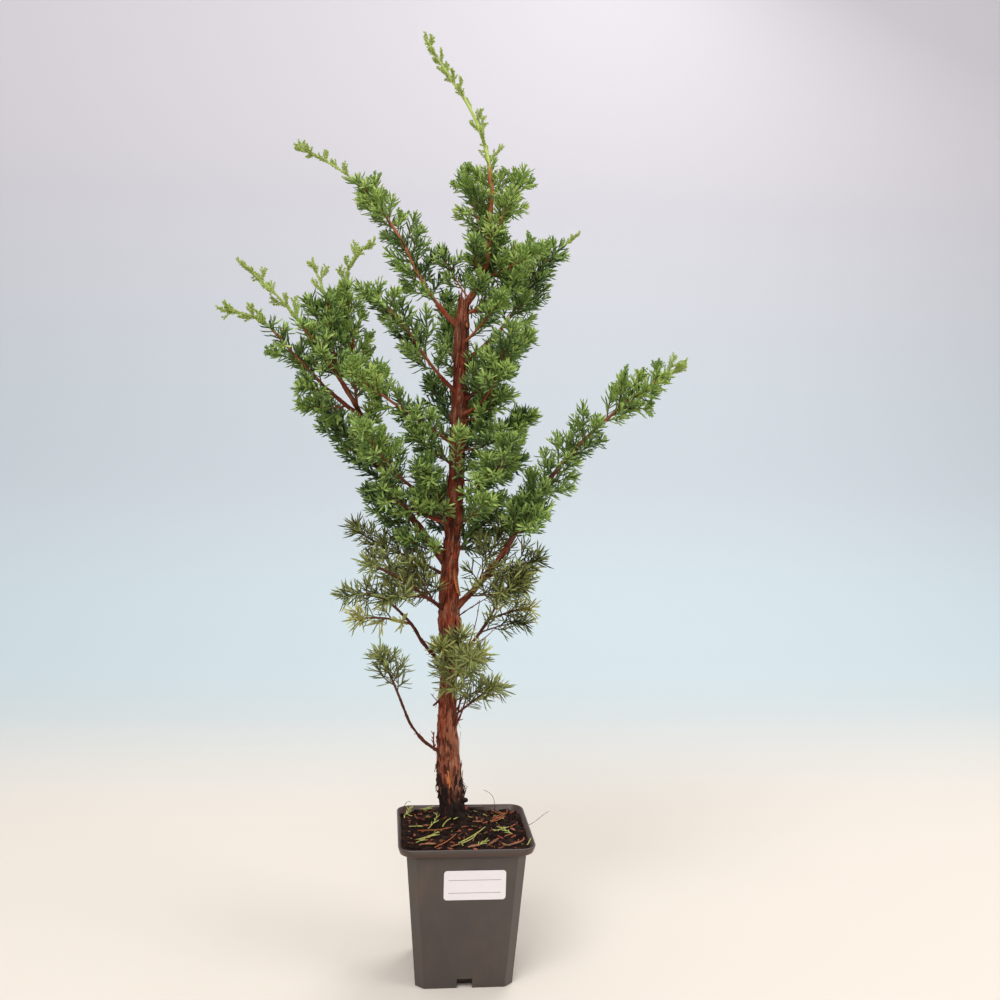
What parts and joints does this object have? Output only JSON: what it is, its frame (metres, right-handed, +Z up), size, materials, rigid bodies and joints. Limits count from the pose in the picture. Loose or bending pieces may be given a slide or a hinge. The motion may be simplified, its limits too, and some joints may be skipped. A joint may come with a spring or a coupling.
{
  "type": "potted conifer",
  "caption": "Young juniper tree with a slender bare trunk, rising boughs and separate masses of short needles, standing in a square tapered plastic nursery pot.",
  "frame": {"origin": "middle of the pot's underside, on the surface that it stands on", "axes": "+Z up along the trunk, -Y towards the pot's labelled side, +X to that side's right"},
  "size_m": [0.2961, 0.148, 0.6288],
  "materials": {
    "pot": "dark grey thin-walled plastic, satin, dusty",
    "soil": null,
    "label": "white sticker, semi-matt",
    "bark": "reddish brown fibrous bark, matt",
    "needles_dark": "short juniper needles, soft sheen",
    "needles_mid": "short juniper needles, soft sheen",
    "needles_bright": "short juniper needles, soft sheen",
    "needles_olive": "short juniper needles, soft sheen",
    "needles_yellow": "short juniper needles, soft sheen"
  },
  "bodies": {
    "root": {"pot": "pot", "soil": "soil", "label": "label", "trunk": "bark", "leader": "bark", "right_bough": "bark", "left_main": "bark", "left_outer": "bark", "left_fore": "bark", "left_stub": "bark", "left_upper": "bark", "left_middle": "bark", "right_upper": "bark", "right_high": "bark", "low_left": "bark", "low_left_under": "bark", "lowest_left": "bark", "low_right": "bark", "left_crest_low_mass": "needles_dark", "left_under_mass": "needles_dark", "left_neck_mass": "needles_dark", "right_crown_low_mass": "needles_dark", "back_low_mass": "needles_dark", "leader_middle": "needles_mid", "right_lower": "needles_mid", "right_middle": "needles_mid", "left_tip": "needles_mid", "left_outer_mass": "needles_mid", "left_front_inner": "needles_mid", "left_fore_mass": "needles_mid", "left_stub_mass": "needles_mid", "left_upper_low": "needles_mid", "left_middle_mass": "needles_mid", "right_upper_mass": "needles_mid", "right_neck_mass": "needles_mid", "right_high_mass": "needles_mid", "right_crown_mass": "needles_mid", "back_middle_mass": "needles_mid", "back_high_mass": "needles_mid", "front_middle_mass": "needles_mid", "leader_top": "needles_bright", "leader_right_mass": "needles_bright", "right_outer": "needles_bright", "left_crest_mass": "needles_bright", "left_front_outer": "needles_bright", "left_upper_top": "needles_bright", "right_inner_mass": "needles_olive", "low_left_top_mass": "needles_olive", "low_left_mass": "needles_olive", "low_left_under_mass": "needles_olive", "lowest_left_mass": "needles_olive", "front_tuft_mass": "needles_olive", "low_right_twig_mass": "needles_olive", "low_right_mass": "needles_olive", "yellow_tuft_mass": "needles_yellow", "low_right_tips_mass": "needles_yellow"}
  },
  "joints": []
}
